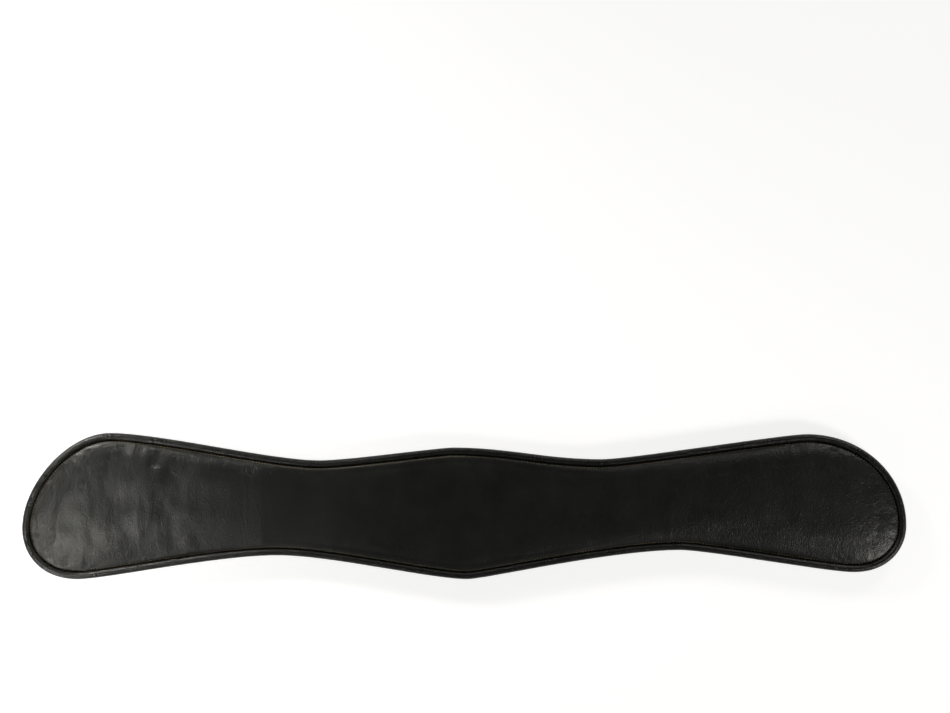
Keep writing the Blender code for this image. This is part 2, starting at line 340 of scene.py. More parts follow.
def leatherCreaseGroup():
    # Fine short creases across the girth, gathered in patches
    tree, entry, leave = newGroup(
        "Leather creases",
        [
            ("Place", "NodeSocketVector", None),
            ("Creases per metre", "NodeSocketFloat", 260.0),
        ],
        [("Height", "NodeSocketFloat"), ("Patches", "NodeSocketFloat")],
    )
    links = tree.links
    long = stretchBy(tree, entry.outputs["Place"], (1.0, 0.45, 0.5), (-700, 100))
    lines = addNode(tree, "TexNoise", (-450, 100))
    setInputs(lines, Detail=4.0, Roughness=0.6, Distortion=0.6)
    links.new(long, lines.inputs["Vector"])
    links.new(entry.outputs["Creases per metre"], lines.inputs["Scale"])
    patches = addNode(tree, "TexNoise", (-450, -200))
    setInputs(patches, Scale=16.0, Detail=2.0)
    links.new(entry.outputs["Place"], patches.inputs["Vector"])
    ridge = mathNode(tree, "SUBTRACT", lines.outputs["Fac"], 0.5, (-200, 100))
    ridge = mathNode(tree, "ABSOLUTE", ridge, None, (-50, 100))
    ridge = mathNode(tree, "MULTIPLY", ridge, 4.0, (100, 100), clamp=True)
    where = addNode(tree, "MapRange", (-200, -200))
    setInputs(where, **{"From Min": 0.4, "From Max": 0.62, "To Min": 0.3, "To Max": 1.0})
    links.new(patches.outputs["Fac"], where.inputs["Value"])
    depth = mathNode(tree, "MULTIPLY", ridge, where.outputs["Result"], (300, 0))
    links.new(depth, leave.inputs["Height"])
    links.new(where.outputs["Result"], leave.inputs["Patches"])
    return tree


def rimPuckerGroup():
    # Short puckers square to the girth's edge, dying away from the seam
    tree, entry, leave = newGroup(
        "Rim puckers",
        [
            ("Edge place", "NodeSocketVector", None),
            ("Puckers per metre", "NodeSocketFloat", 330.0),
            ("Reach", "NodeSocketFloat", 0.02),
        ],
        [("Height", "NodeSocketFloat")],
    )
    links = tree.links
    along = stretchBy(tree, entry.outputs["Edge place"], (1.0, 1.0, 0.22), (-700, 100))
    folds = addNode(tree, "TexNoise", (-450, 100))
    setInputs(folds, Detail=2.0, Roughness=0.5, Distortion=0.2)
    links.new(along, folds.inputs["Vector"])
    links.new(entry.outputs["Puckers per metre"], folds.inputs["Scale"])
    split = addNode(tree, "SeparateXYZ", (-700, -200))
    links.new(entry.outputs["Edge place"], split.inputs["Vector"])
    near = mathNode(tree, "DIVIDE", split.outputs["Z"], entry.outputs["Reach"], (-450, -200))
    near = mathNode(tree, "SUBTRACT", 1.0, near, (-250, -200), clamp=True)
    links.new(mathNode(tree, "MULTIPLY", folds.outputs["Fac"], near), leave.inputs["Height"])
    return tree


def edgeWearGroup():
    # Rubbed edges, broken up by a fine noise
    tree, entry, leave = newGroup(
        "Edge wear",
        [
            ("Place", "NodeSocketVector", None),
            ("Edge", "NodeSocketFloat", 0.0),
            ("Amount", "NodeSocketFloat", 0.5),
        ],
        [("Mask", "NodeSocketFloat")],
    )
    links = tree.links
    rub = addNode(tree, "TexNoise", (-600, 0))
    setInputs(rub, Scale=300.0, Detail=4.0)
    links.new(entry.outputs["Place"], rub.inputs["Vector"])
    lifted = mathNode(tree, "SUBTRACT", rub.outputs["Fac"], 0.35, (-400, 0))
    lifted = mathNode(tree, "MULTIPLY", lifted, 3.0, (-200, 0), clamp=True)
    mask = mathNode(tree, "MULTIPLY", lifted, entry.outputs["Edge"], (0, 0))
    mask = mathNode(tree, "MULTIPLY", mask, entry.outputs["Amount"], (200, 0), clamp=True)
    links.new(mask, leave.inputs["Mask"])
    return tree


grainGroup = leatherGrainGroup()
wearGroup = edgeWearGroup()
creaseGroup = leatherCreaseGroup()
puckerGroup = rimPuckerGroup()


def useGroup(tree, group, place=(0, 0), **values):
    made = addNode(tree, "Group", place, node_tree=group)
    for key, value in values.items():
        made.inputs[key.replace("_", " ")].default_value = value
    return made


def newMaterial(name, roughness, metallic=0.0):
    material = bpy.data.materials.new(name)
    material.use_nodes = True
    shader = material.node_tree.nodes["Principled BSDF"]
    shader.inputs["Roughness"].default_value = roughness
    shader.inputs["Metallic"].default_value = metallic
    return material, material.node_tree, shader


def restPlace(tree, place=(-1200, 0)):
    return addNode(tree, "Attribute", place, attribute_name="restPlace").outputs["Vector"]


def leather(name, look):
    # Dyed and waxed leather: grain, creases, mottled colour and shine
    material, tree, shader = newMaterial(name, look["roughness"])
    links = tree.links
    place = restPlace(tree)
    grain = useGroup(tree, grainGroup, (-900, 200), Pebbles_per_metre=look["pebbles"])
    creases = useGroup(tree, creaseGroup, (-900, -100), Creases_per_metre=look["creases"])
    links.new(place, grain.inputs["Place"])
    links.new(place, creases.inputs["Place"])
    colour = addNode(tree, "Mix", (-500, 400), data_type="RGBA")
    colour.inputs["A"].default_value = (*look["dark"], 1)
    colour.inputs["B"].default_value = (*look["light"], 1)
    links.new(grain.outputs["Mottling"], colour.inputs["Factor"])
    edge = addNode(tree, "Attribute", (-1200, 500), attribute_name="wear")
    wear = useGroup(tree, wearGroup, (-900, 500), Amount=look["wear"])
    links.new(place, wear.inputs["Place"])
    links.new(edge.outputs["Fac"], wear.inputs["Edge"])
    rubbed = addNode(tree, "Mix", (-250, 450), data_type="RGBA")
    rubbed.inputs["B"].default_value = (*look["rubbed"], 1)
    links.new(wear.outputs["Mask"], rubbed.inputs["Factor"])
    links.new(colour.outputs["Result"], rubbed.inputs["A"])
    links.new(rubbed.outputs["Result"], shader.inputs["Base Color"])
    shine = addNode(tree, "MapRange", (-500, 100))
    spread = look["roughnessSpread"]
    setInputs(
        shine,
        **{
            "From Min": 0.3,
            "From Max": 0.7,
            "To Min": look["roughness"] - spread,
            "To Max": look["roughness"] + spread,
        },
    )
    links.new(grain.outputs["Mottling"], shine.inputs["Value"])
    links.new(shine.outputs["Result"], shader.inputs["Roughness"])
    fine = addNode(tree, "Bump", (-500, -200))
    setInputs(fine, Strength=1.0, Distance=look["grainDepth"])
    links.new(grain.outputs["Height"], fine.inputs["Height"])
    folds = addNode(tree, "Bump", (-300, -300))
    setInputs(folds, Strength=1.0, Distance=look["creaseDepth"])
    local = addNode(tree, "Attribute", (-1200, -200), attribute_name="creasing")
    amount = mathNode(tree, "ADD", local.outputs["Fac"], 0.25, (-900, -250))
    deep = mathNode(tree, "MULTIPLY", creases.outputs["Height"], amount, (-500, -350))
    links.new(deep, folds.inputs["Height"])
    links.new(fine.outputs["Normal"], folds.inputs["Normal"])
    rim = addNode(tree, "Attribute", (-1200, -400), attribute_name="edgePlace")
    puckers = useGroup(tree, puckerGroup, (-900, -400), Puckers_per_metre=look["puckers"])
    puckers.inputs["Reach"].default_value = look["puckerReach"]
    links.new(rim.outputs["Vector"], puckers.inputs["Edge place"])
    gather = addNode(tree, "Bump", (-100, -400))
    setInputs(gather, Strength=1.0, Distance=look["puckerDepth"])
    links.new(puckers.outputs["Height"], gather.inputs["Height"])
    links.new(folds.outputs["Normal"], gather.inputs["Normal"])
    links.new(gather.outputs["Normal"], shader.inputs["Normal"])
    shader.inputs["Coat Weight"].default_value = look["wax"]
    shader.inputs["Coat Roughness"].default_value = look["waxRoughness"]
    return material


liningLook = {
    "dark": (0.0036, 0.0041, 0.0033),
    "light": (0.0062, 0.0068, 0.0056),
    "roughness": 0.36,
    "roughnessSpread": 0.04,
    "pebbles": 950.0,
    "grainDepth": 0.0003,
    "creases": 260.0,
    "creaseDepth": 0.00022,
    "puckers": 330.0,
    "puckerDepth": 0.0003,
    "puckerReach": 0.022,
    "wax": 0.12,
    "wear": 0.6,
    "rubbed": (0.035, 0.029, 0.023),
    "waxRoughness": 0.3,
}
rollLook = dict(
    liningLook, roughness=0.29, wax=0.0, pebbles=1100.0, creaseDepth=0.00004,
    puckers=520.0, puckerDepth=0.00025, puckerReach=0.05,
)
strapLook = dict(
    liningLook, dark=(0.006, 0.0055, 0.005), light=(0.012, 0.011, 0.010),
    roughness=0.46, pebbles=1300.0, creaseDepth=0.00005,
)
liningLeather = leather("Lining leather", liningLook)
rollLeather = leather("Rolled leather", rollLook)
strapLeather = leather("Strap leather", strapLook)


def waxedThread():
    material, tree, shader = newMaterial("Waxed thread", 0.55)
    place = restPlace(tree)
    twist = addNode(tree, "TexWave", (-700, -200), bands_direction="DIAGONAL")
    setInputs(twist, Scale=900.0, Distortion=1.0)
    tone = addNode(tree, "TexNoise", (-700, 200))
    setInputs(tone, Scale=60.0, Detail=3.0)
    colour = addNode(tree, "Mix", (-400, 200), data_type="RGBA")
    colour.inputs["A"].default_value = (0.05, 0.042, 0.025, 1)
    colour.inputs["B"].default_value = (0.30, 0.26, 0.15, 1)
    bump = addNode(tree, "Bump", (-300, -200))
    setInputs(bump, Strength=1.0, Distance=0.00008)
    links = tree.links
    links.new(place, twist.inputs["Vector"])
    links.new(place, tone.inputs["Vector"])
    links.new(tone.outputs["Fac"], colour.inputs["Factor"])
    links.new(colour.outputs["Result"], shader.inputs["Base Color"])
    links.new(twist.outputs["Fac"], bump.inputs["Height"])
    links.new(bump.outputs["Normal"], shader.inputs["Normal"])
    return material


def stainless():
    material, tree, shader = newMaterial("Polished stainless", 0.18, 1.0)
    place = addNode(tree, "TexCoord", (-1200, 0)).outputs["Object"]
    smudge = addNode(tree, "TexNoise", (-800, 200))
    setInputs(smudge, Scale=120.0, Detail=4.0)
    scratch = addNode(tree, "TexNoise", (-800, -200))
    setInputs(scratch, Scale=900.0, Detail=2.0)
    shine = addNode(tree, "MapRange", (-500, 100))
    setInputs(shine, **{"From Min": 0.3, "From Max": 0.7, "To Min": 0.12, "To Max": 0.3})
    bump = addNode(tree, "Bump", (-400, -200))
    setInputs(bump, Strength=0.6, Distance=0.00001)
    links = tree.links
    links.new(place, smudge.inputs["Vector"])
    links.new(stretchBy(tree, place, (1, 0.1, 1), (-1000, -200)), scratch.inputs["Vector"])
    links.new(smudge.outputs["Fac"], shine.inputs["Value"])
    links.new(shine.outputs["Result"], shader.inputs["Roughness"])
    links.new(scratch.outputs["Fac"], bump.inputs["Height"])
    links.new(bump.outputs["Normal"], shader.inputs["Normal"])
    shader.inputs["Base Color"].default_value = (0.60, 0.60, 0.58, 1)
    return material


def ribbedElastic():
    material, tree, shader = newMaterial("Ribbed elastic", 0.75)
    place = restPlace(tree)
    ribs = addNode(tree, "TexWave", (-700, 0), bands_direction="Y")
    setInputs(ribs, Scale=95.0, Distortion=0.3)
    picks = addNode(tree, "TexWave", (-700, -300), bands_direction="X")
    setInputs(picks, Scale=220.0, Distortion=0.4)
    both = mathNode(tree, "MULTIPLY", picks.outputs["Fac"], 0.35, (-500, -300))
    both = mathNode(tree, "ADD", ribs.outputs["Fac"], both, (-400, -100))
    bump = addNode(tree, "Bump", (-300, -200))
    setInputs(bump, Strength=1.0, Distance=0.00025)
    colour = addNode(tree, "Mix", (-300, 200), data_type="RGBA")
    colour.inputs["A"].default_value = (0.006, 0.006, 0.007, 1)
    colour.inputs["B"].default_value = (0.022, 0.022, 0.024, 1)
    links = tree.links
    links.new(place, ribs.inputs["Vector"])
    links.new(place, picks.inputs["Vector"])
    links.new(both, bump.inputs["Height"])
    links.new(ribs.outputs["Fac"], colour.inputs["Factor"])
    links.new(colour.outputs["Result"], shader.inputs["Base Color"])
    links.new(bump.outputs["Normal"], shader.inputs["Normal"])
    return material


def wovenCotton():
    material, tree, shader = newMaterial("Woven webbing", 0.9)
    place = restPlace(tree)
    warp = addNode(tree, "TexWave", (-700, 0), bands_direction="Y")
    setInputs(warp, Scale=160.0, Distortion=0.5)
    weft = addNode(tree, "TexWave", (-700, -300), bands_direction="X")
    setInputs(weft, Scale=160.0, Distortion=0.5)
    bump = addNode(tree, "Bump", (-300, -200))
    setInputs(bump, Strength=1.0, Distance=0.0002)
    colour = addNode(tree, "Mix", (-300, 200), data_type="RGBA")
    colour.inputs["A"].default_value = (0.20, 0.18, 0.14, 1)
    colour.inputs["B"].default_value = (0.34, 0.31, 0.25, 1)
    links = tree.links
    links.new(place, warp.inputs["Vector"])
    links.new(place, weft.inputs["Vector"])
    both = mathNode(tree, "MULTIPLY", warp.outputs["Fac"], weft.outputs["Fac"], (-500, -100))
    links.new(both, bump.inputs["Height"])
    links.new(both, colour.inputs["Factor"])
    links.new(colour.outputs["Result"], shader.inputs["Base Color"])
    links.new(bump.outputs["Normal"], shader.inputs["Normal"])
    return material


thread = waxedThread()
wovenWebbing = wovenCotton()
steel = stainless()
elastic = ribbedElastic()
print("Finishes made")

# The padded lining
pad = {
    "foot": 0.0065,  # from the girth's edge to the pad's side
    "rings": (0.0006, 0.0007, 0.0009, 0.0011, 0.0014, 0.0018, 0.0022, 0.0028, 0.0035, 0.004),
    "grid": 0.006,
    "bottom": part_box("foam_centre")[0][2],
    "seam": 0.0075,  # where the seam holds the lining down
    "seamZ": (0.0183, 0.0162),  # at the centre, at the lobes
    "shoulder": (0.012, 0.0085),
    "top": 0.0216,
    "wingFall": 0.02,  # slope of the wings towards their ends
    "crown": 0.0015,
    "crownReach": 0.045,
    "pressure": 3.0,
    "steps": 20,
    "mostSwell": 0.0016,
    "smoothing": 12,
    "waves": 0.0011,
    "folds": 0.00018,
    "dent": (-0.327, 0.0155),
    "ripples": 0.184,
    "rippleDepth": 0.00006,
    "dish": (0.0018, 0.05),  # how far the left middle sinks, and how soon
    "ridge": 0.00012,
}


def mixed(pair, share):
    return pair[0] + (pair[1] - pair[0]) * share


def padHeight(x, y):
    # Height of the lining's surface over a spot of the girth
    inset = edgeTree.find((x, y, 0))[2]
    past = max(abs(x) - bendX, 0)
    lobe = soft(abs(x), bendX - 0.02, bendX + 0.08)
    seamZ = mixed(pad["seamZ"], lobe)
    if inset < pad["seam"]:
        return seamZ - 1.3 * (pad["seam"] - inset)
    share = min((inset - pad["seam"]) / mixed(pad["shoulder"], lobe), 1)
    rise = 1 - (1 - share) ** 2.3
    dome = 1 - (1 - min(inset / pad["crownReach"], 1)) ** 2
    top = pad["top"] - pad["wingFall"] * past + pad["crown"] * dome * lobe
    return seamZ + (top - seamZ) * rise


def padForm():
    # A closed block on the pad's outline, its top ringed and gridded for shaping
    shape = bmesh.new()
    corners = [shape.verts.new(p) for p in outline(pad["foot"], pad["bottom"], 0.003)]
    base = shape.faces.new(corners)
    raised = bmesh.ops.extrude_face_region(shape, geom=[base])
    tops = [item for item in raised["geom"] if isinstance(item, bmesh.types.BMVert)]
    bmesh.ops.translate(shape, vec=(0, 0, 0.001), verts=tops)
    inner = [face for face in shape.faces if all(v in tops for v in face.verts)]
    for thickness in pad["rings"]:
        bmesh.ops.inset_region(
            shape, faces=inner, thickness=thickness, use_even_offset=True
        )
    for axis in (0, 1):
        lines = round(0.76 / pad["grid"]) if axis == 0 else round(0.126 / pad["grid"])
        for number in range(-lines // 2, lines // 2 + 1):
            at = [0, 0, 0]
            at[axis] = (number + 0.5) * pad["grid"]
            normal = [0, 0, 0]
            normal[axis] = 1
            edges = {edge for face in inner for edge in face.edges}
            verts = {vert for face in inner for vert in face.verts}
            cut = bmesh.ops.bisect_plane(
                shape, geom=[*verts, *edges, *inner], dist=0.00002,
                plane_co=at, plane_no=normal,
            )
            inner = [i for i in cut["geom"] if isinstance(i, bmesh.types.BMFace)]
    bmesh.ops.recalc_face_normals(shape, faces=shape.faces[:])
    bmesh.ops.delete(shape, geom=[base], context="FACES_ONLY")
    for vertex in shape.verts:
        if vertex.co.z > pad["bottom"] + 0.0005:
            vertex.co.z = padHeight(vertex.co.x, vertex.co.y)
    data = bpy.data.meshes.new("Pad form")
    shape.to_mesh(data)
    shape.free()
    return addObject("Pad form", data)


def fillPad(piece):
    # Cloth under pressure: the foam fills the leather between its sewn rims
    start = [vertex.co.copy() for vertex in piece.data.vertices]
    held = piece.vertex_groups.new(name="held")
    for vertex in piece.data.vertices:
        spot = vertex.co
        inset = edgeTree.find((spot.x, spot.y, 0))[2]
        sewn = spot.z < pad["bottom"] + 0.0005 or inset < pad["seam"] + 0.0012
        stiff = 1 - soft(abs(spot.x), bendX - 0.012, bendX + 0.01)
        held.add([vertex.index], 1.0 if sewn else 0.5 * stiff, "REPLACE")
    cloth = piece.modifiers.new("Filling", "CLOTH")
    settings = cloth.settings
    settings.quality = 5
    settings.mass = 0.3
    settings.tension_stiffness = 15
    settings.compression_stiffness = 15
    settings.shear_stiffness = 5
    settings.bending_stiffness = 0.5
    settings.use_pressure = True
    settings.uniform_pressure_force = pad["pressure"]
    settings.effector_weights.gravity = 0
    settings.vertex_group_mass = "held"
    cloth.collision_settings.use_collision = False
    cloth.point_cache.frame_start = 1
    cloth.point_cache.frame_end = pad["steps"]
    for step in range(1, pad["steps"] + 1):
        scene.frame_set(step)
    swollen = meshOf(piece)
    piece.modifiers.clear()
    piece.vertex_groups.clear()
    piece.data = swollen
    moves = []
    for vertex, before in zip(swollen.vertices, start):
        move = vertex.co - before
        moves.append(move.length)
        if move.length > pad["mostSwell"]:
            vertex.co = before + move.normalized() * pad["mostSwell"]
    print("Pad filled, largest swell %.1f mm" % (max(moves) * 1000))
    scene.frame_set(1)
    return piece


def evenPad(data):
    # Smooths the filled surface, so only the creases added next are left on it
    shape = bmesh.new()
    shape.from_mesh(data)
    inner = [
        vertex for vertex in shape.verts
        if edgeTree.find((vertex.co.x, vertex.co.y, 0))[2] > pad["seam"] + 0.005
        and vertex.co.z > pad["bottom"] + 0.001
    ]
    for _ in range(pad["smoothing"]):
        bmesh.ops.smooth_vert(shape, verts=inner, factor=0.5, use_axis_z=True)
    shape.to_mesh(data)
    shape.free()


def creaseLining(data):
    # Soft waves over the lobes, one small dent, a faint ridge at the right bend line
    creasing = []
    dentAt = Vector(pad["dent"])
    for vertex in data.vertices:
        spot = vertex.co
        inset = edgeTree.find((spot.x, spot.y, 0))[2]
        inside = soft(inset, pad["seam"], pad["seam"] + 0.006)
        lobe = soft(abs(spot.x), bendX, bendX + 0.10)
        left = lobe if spot.x < 0 else 0
        away = (Vector((spot.x, spot.y)) - dentAt).length
        ripple = math.exp(-(((spot.x + pad["ripples"]) / 0.010) ** 2))
        creasing.append(0.2 + left + 1.3 * ripple + 1.4 * math.exp(-((away / 0.03) ** 2)))
        if spot.z < pad["seamZ"][1] + 0.0002:
            continue
        wave = noise.noise(Vector((spot.x * 38, spot.y * 38, 5.0)))
        wave += 0.5 * noise.noise(Vector((spot.x * 90, spot.y * 70, 9.0)))
        fold = noise.noise(Vector((spot.x * 170, spot.y * 55, 2.0)))
        lift = pad["waves"] * wave * (0.1 + 0.12 * lobe + 0.85 * left)
        lift += pad["folds"] * fold * (0.1 + 0.2 * lobe + 0.8 * left)
        depth, reach = pad["dish"]
        share = min(max((spot.x + bendX) / reach, 0), 1)
        lift -= depth * (1 - (1 - share) ** 2) * (1 - soft(spot.x, 0.02, bendX))
        drift = noise.noise(Vector((spot.x * 60, spot.y * 40, 7.0)))
        middle = soft(0.04 - abs(spot.y + 0.005), 0, 0.02)
        lift += pad["rippleDepth"] * ripple * middle * math.sin(spot.x * 1000 + 2 * drift)
        low = soft(-spot.y, -0.02, 0.02)
        lift += pad["ridge"] * low * math.exp(-(((spot.x - bendX - 0.002) / 0.0022) ** 2))
        lift += 0.0006 * math.exp(-((away / 0.006) ** 2))
        lift -= 0.0011 * math.exp(-((away / 0.0028) ** 2))
        vertex.co.z += lift * inside
    stored = data.attributes.new("creasing", "FLOAT", "POINT")
    stored.data.foreach_set("value", creasing)


def closeBase(data):
    # The pad's flat base, laid in strips so that it can flex
    shape = bmesh.new()
    shape.from_mesh(data)
    rim = [edge for edge in shape.edges if edge.is_boundary]
    base = bmesh.ops.holes_fill(shape, edges=rim)["faces"]
    lines = round(0.76 / pad["grid"])
    for number in range(-lines // 2, lines // 2 + 1):
        edges = {edge for face in base for edge in face.edges}
        verts = {vert for face in base for vert in face.verts}
        cut = bmesh.ops.bisect_plane(
            shape, geom=[*verts, *edges, *base], dist=0.00001,
            plane_co=((number + 0.4) * pad["grid"], 0, 0), plane_no=(1, 0, 0),
        )
        base = [i for i in cut["geom"] if isinstance(i, bmesh.types.BMFace)]
    shape.to_mesh(data)
    shape.free()


def makeLining():
    piece = padForm()
    piece = fillPad(piece)
    evenPad(piece.data)
    finer = piece.modifiers.new("Finer", "SUBSURF")
    finer.levels = 2
    finer.render_levels = 2
    applied(piece)
    creaseLining(piece.data)
    closeBase(piece.data)
    made = halves("padded_lining", piece.data, liningLeather)
    for sideName, half in made.items():
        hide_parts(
            "lining_" + sideName, "lining_centre",
            "foam_" + sideName, "foam_centre",
        )
        bendWithWing(half)
    bpy.data.objects.remove(piece)


makeLining()
print("Lining padded")


# Sweeps along a line
def sweep(path, radius, sides, closed=False, radii=None):
    data = bpy.data.curves.new("Sweep", "CURVE")
    data.dimensions = "3D"
    data.twist_mode = "Z_UP" if closed else "MINIMUM"
    data.bevel_depth = radius
    data.bevel_resolution = sides
    data.use_fill_caps = not closed
    spline = data.splines.new("POLY")
    spline.points.add(len(path) - 1)
    for index, (spot, point) in enumerate(zip(spline.points, path)):
        spot.co = (*point, 1)
        spot.radius = radii[index] if radii else 1
    spline.use_cyclic_u = closed
    curve = addObject("Sweep", data)
    mesh = meshOf(curve)
    bpy.data.objects.remove(curve)
    shape = bmesh.new()
    shape.from_mesh(mesh)
    bmesh.ops.remove_doubles(shape, verts=shape.verts[:], dist=0.000001)
    bmesh.ops.recalc_face_normals(shape, faces=shape.faces[:])
    shape.to_mesh(mesh)
    shape.free()
    return mesh


# The rolled edge
roll = {
    "radius": 0.0033,
    "spacing": 0.0016,
    "puckers": 0.0001,  # how deep its cross puckers are
}


def makeRoll():
    path = outline(roll["radius"], rollZ, roll["spacing"])
    data = sweep(path, roll["radius"], 4, closed=True)
    for vertex in data.vertices:
        spot = vertex.co
        across = noise.noise(Vector((spot.x * 260, spot.y * 260, 0)))
        slow = noise.noise(Vector((spot.x * 25, spot.y * 25, 3)))
        away = roll["puckers"] * (across * (0.6 + 0.8 * abs(slow)) + 0.8 * slow)
        vertex.co += vertex.normal * away
    piece = addObject("Roll form", data)
    finer = piece.modifiers.new("Finer", "SUBSURF")
    finer.levels = 1
    finer.render_levels = 1
    applied(piece)
    made = halves("rolled_edge", piece.data, rollLeather)
    bpy.data.objects.remove(piece)
    for sideName, half in made.items():
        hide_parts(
            *("edge_%s_%s" % (kind, where) for kind in ("roll", "cord")
                    for where in (sideName, "front", "rear")),
        )
        bendWithWing(half)


makeRoll()
print("Edge rolled")


# Stitches
seam = {
    "pitch": 0.0026,
    "length": 0.0019,
    "radius": 0.00042,
    "slant": 8,  # degrees off the seam's line
}


def stitchRow(name, path, closed, side=0):
    # Each stitch is a small spindle lying along the line, on one side if asked
    line = evenly(path, seam["pitch"], closed)
    shape = bmesh.new()
    for index, point in enumerate(line):
        if side and point.x * side <= 0:
            continue
        after = line[(index + 1) % len(line)]
        if not closed and index == len(line) - 1:
            break
        along = (after - point).normalized()
        wobble = noise.noise(point * 900)
        turn = Matrix.Rotation(math.radians(seam["slant"] + 6 * wobble), 3, "Z")
        along = turn @ along
        side = Vector((0, 0, 1)).cross(along)
        length = seam["length"] * (0.92 + 0.12 * noise.noise(point * 700))
        frameOf = Matrix((
            (along.x * length / 2, side.x * seam["radius"], 0, point.x),
            (along.y * length / 2, side.y * seam["radius"], 0, point.y),
            (0, 0, seam["radius"] * 0.8, point.z),
            (0, 0, 0, 1),
        ))
        turned = frameOf @ Matrix.Rotation(math.pi / 2, 4, "Y")
        bmesh.ops.create_uvsphere(
            shape, u_segments=6, v_segments=4, radius=1, matrix=turned
        )
    data = bpy.data.meshes.new(name)
    shape.to_mesh(data)
    shape.free()
    return data


# Flat leather and webbing
outer = {
    "cuts": 0.004,  # spacing of the cross lines that let a strip flex
    "shellInset": 0.0056,
    "shellBevel": 0.0004,
    "strapCorner": 0.006,
    "strapBevel": 0.0005,
    "stitchInset": 0.003,
    "clear": 0.0003,  # kept between the strap and the shell above it
}


def crossCuts(shape):
    reach = (bendX - girth["bendBefore"] - 0.004, bendX + girth["bendAfter"] + 0.004)
    lines = round((reach[1] - reach[0]) / outer["cuts"])
    for number in range(lines + 1):
        at = reach[0] + (reach[1] - reach[0]) * number / lines
        for side in (-1, 1):
            cutAt(shape, (side * at, 0, 0), (1, 0, 0))


def bevelRim(shape, width):
    rim = [
        edge for edge in shape.edges
        if len(edge.link_faces) == 2 and edge.calc_face_angle(0) > 1.2
    ]
    bmesh.ops.bevel(
        shape, geom=rim, offset=width, segments=3, profile=0.5, affect="EDGES",
        material=-1,
    )


def supportFaces(shape):
    # A loop just inside each broad face keeps its edge crisp
    broad = [
        face for face in shape.faces
        if face.calc_area() > 0.0001 and abs(face.normal.z) > 0.9
    ]
    bmesh.ops.inset_individual(shape, faces=broad, thickness=0.001)


def makeShell():
    low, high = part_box("shell_centre")[0][2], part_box("shell_centre")[1][2]
    shape = bmesh.new()
    corners = [shape.verts.new(p) for p in outline(outer["shellInset"], low, 0.003)]
    base = shape.faces.new(corners)
    raised = bmesh.ops.extrude_face_region(shape, geom=[base])
    tops = [item for item in raised["geom"] if isinstance(item, bmesh.types.BMVert)]
    bmesh.ops.translate(shape, vec=(0, 0, high - low), verts=tops)
    bmesh.ops.recalc_face_normals(shape, faces=shape.faces[:])
    bevelRim(shape, outer["shellBevel"])
    supportFaces(shape)
    crossCuts(shape)
    data = bpy.data.meshes.new("Shell form")
    shape.to_mesh(data)
    shape.free()
    for sideName, half in halves("shell_panel", data, strapLeather, 40).items():
        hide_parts("shell_" + sideName, "shell_centre")
        bendWithWing(half)
    path = outline(outer["shellInset"] + outer["stitchInset"], low - 0.0001, 0.001)
    sewHalves("shell_seam", path)


def slabForm(low, high, corner, bevel):
    # A flat strip between two box corners, its upright corners rounded
    shape = bmesh.new()
    bmesh.ops.create_cube(shape, size=1)
    size = Vector(high) - Vector(low)
    bmesh.ops.scale(shape, vec=size, verts=shape.verts[:])
    bmesh.ops.translate(shape, vec=(Vector(low) + Vector(high)) / 2, verts=shape.verts[:])
    upright = [
        edge for edge in shape.edges
        if abs(edge.verts[0].co.z - edge.verts[1].co.z) > size.z / 2
    ]
    if corner:
        bmesh.ops.bevel(
            shape, geom=upright, offset=corner, segments=6, profile=0.5,
            affect="EDGES", material=-1,
        )
    bevelRim(shape, bevel)
    supportFaces(shape)
    return shape


def sewHalves(name, path):
    # Stitches in a left and a right half, each one whole on its own side
    for sideName, side in (("left", -1), ("right", 1)):
        row = stitchRow(name, path, True, side)
        half = settleMesh(name + "_" + sideName, row, thread)
        bendWithWing(half)


def boxPath(low, high, inset, z, corner=0.004):
    # A closed line just inside a rectangle, its corners rounded
    points = []
    left, front = low[0] + inset, low[1] + inset
    right, rear = high[0] - inset, high[1] - inset
    for x, y, start in (
        (right, rear, 0), (left, rear, 90), (left, front, 180), (right, front, 270),
    ):
        middle = (
            x - corner if x == right else x + corner,
            y - corner if y == rear else y + corner, z,
        )
        points += arc(middle, corner, start, start + 90, 5, (1, 0, 0), (0, 1, 0))
    return points


def arc(centre, radius, start, end, steps, first, second):
    points = []
    for step in range(steps + 1):
        angle = math.radians(start + (end - start) * step / steps)
        turn = Vector(first) * math.cos(angle) + Vector(second) * math.sin(angle)
        points.append(Vector(centre) + turn * radius)
    return points


def makeStrap():
    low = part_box("strap_left")[0]
    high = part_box("strap_right")[1]
    top = (high[0], high[1], high[2] - outer["clear"])
    shape = slabForm(low, top, outer["strapCorner"], outer["strapBevel"])
    crossCuts(shape)
    data = bpy.data.meshes.new("Strap form")
    shape.to_mesh(data)
    shape.free()
    for sideName, half in halves("strap_run", data, strapLeather, 40).items():
        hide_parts("strap_" + sideName, "strap_centre")
        bendWithWing(half)
    path = boxPath(low, high, outer["stitchInset"], low[2] - 0.0001)
    sewHalves("strap_seam", path)


def makeWebbing():
    low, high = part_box("core_webbing")
    shape = slabForm(low, high, outer["strapCorner"], 0.0003)
    crossCuts(shape)
    data = bpy.data.meshes.new("Webbing form")
    shape.to_mesh(data)
    shape.free()
    for sideName, half in halves("core_web", data, wovenWebbing, 40).items():
        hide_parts("core_webbing")
        bendWithWing(half)


def settled(piece, body, slotName, *nodes):
    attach(piece, body)
    if nodes:
        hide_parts(*nodes)
    return piece


def sew(name, paths, body):
    # Rows of stitches on one body
    whole = bmesh.new()
    for path, closed in paths:
        row = stitchRow(name, path, closed)
        whole.from_mesh(row)
    settled(settle(name, whole, thread), body, "edge_cord")


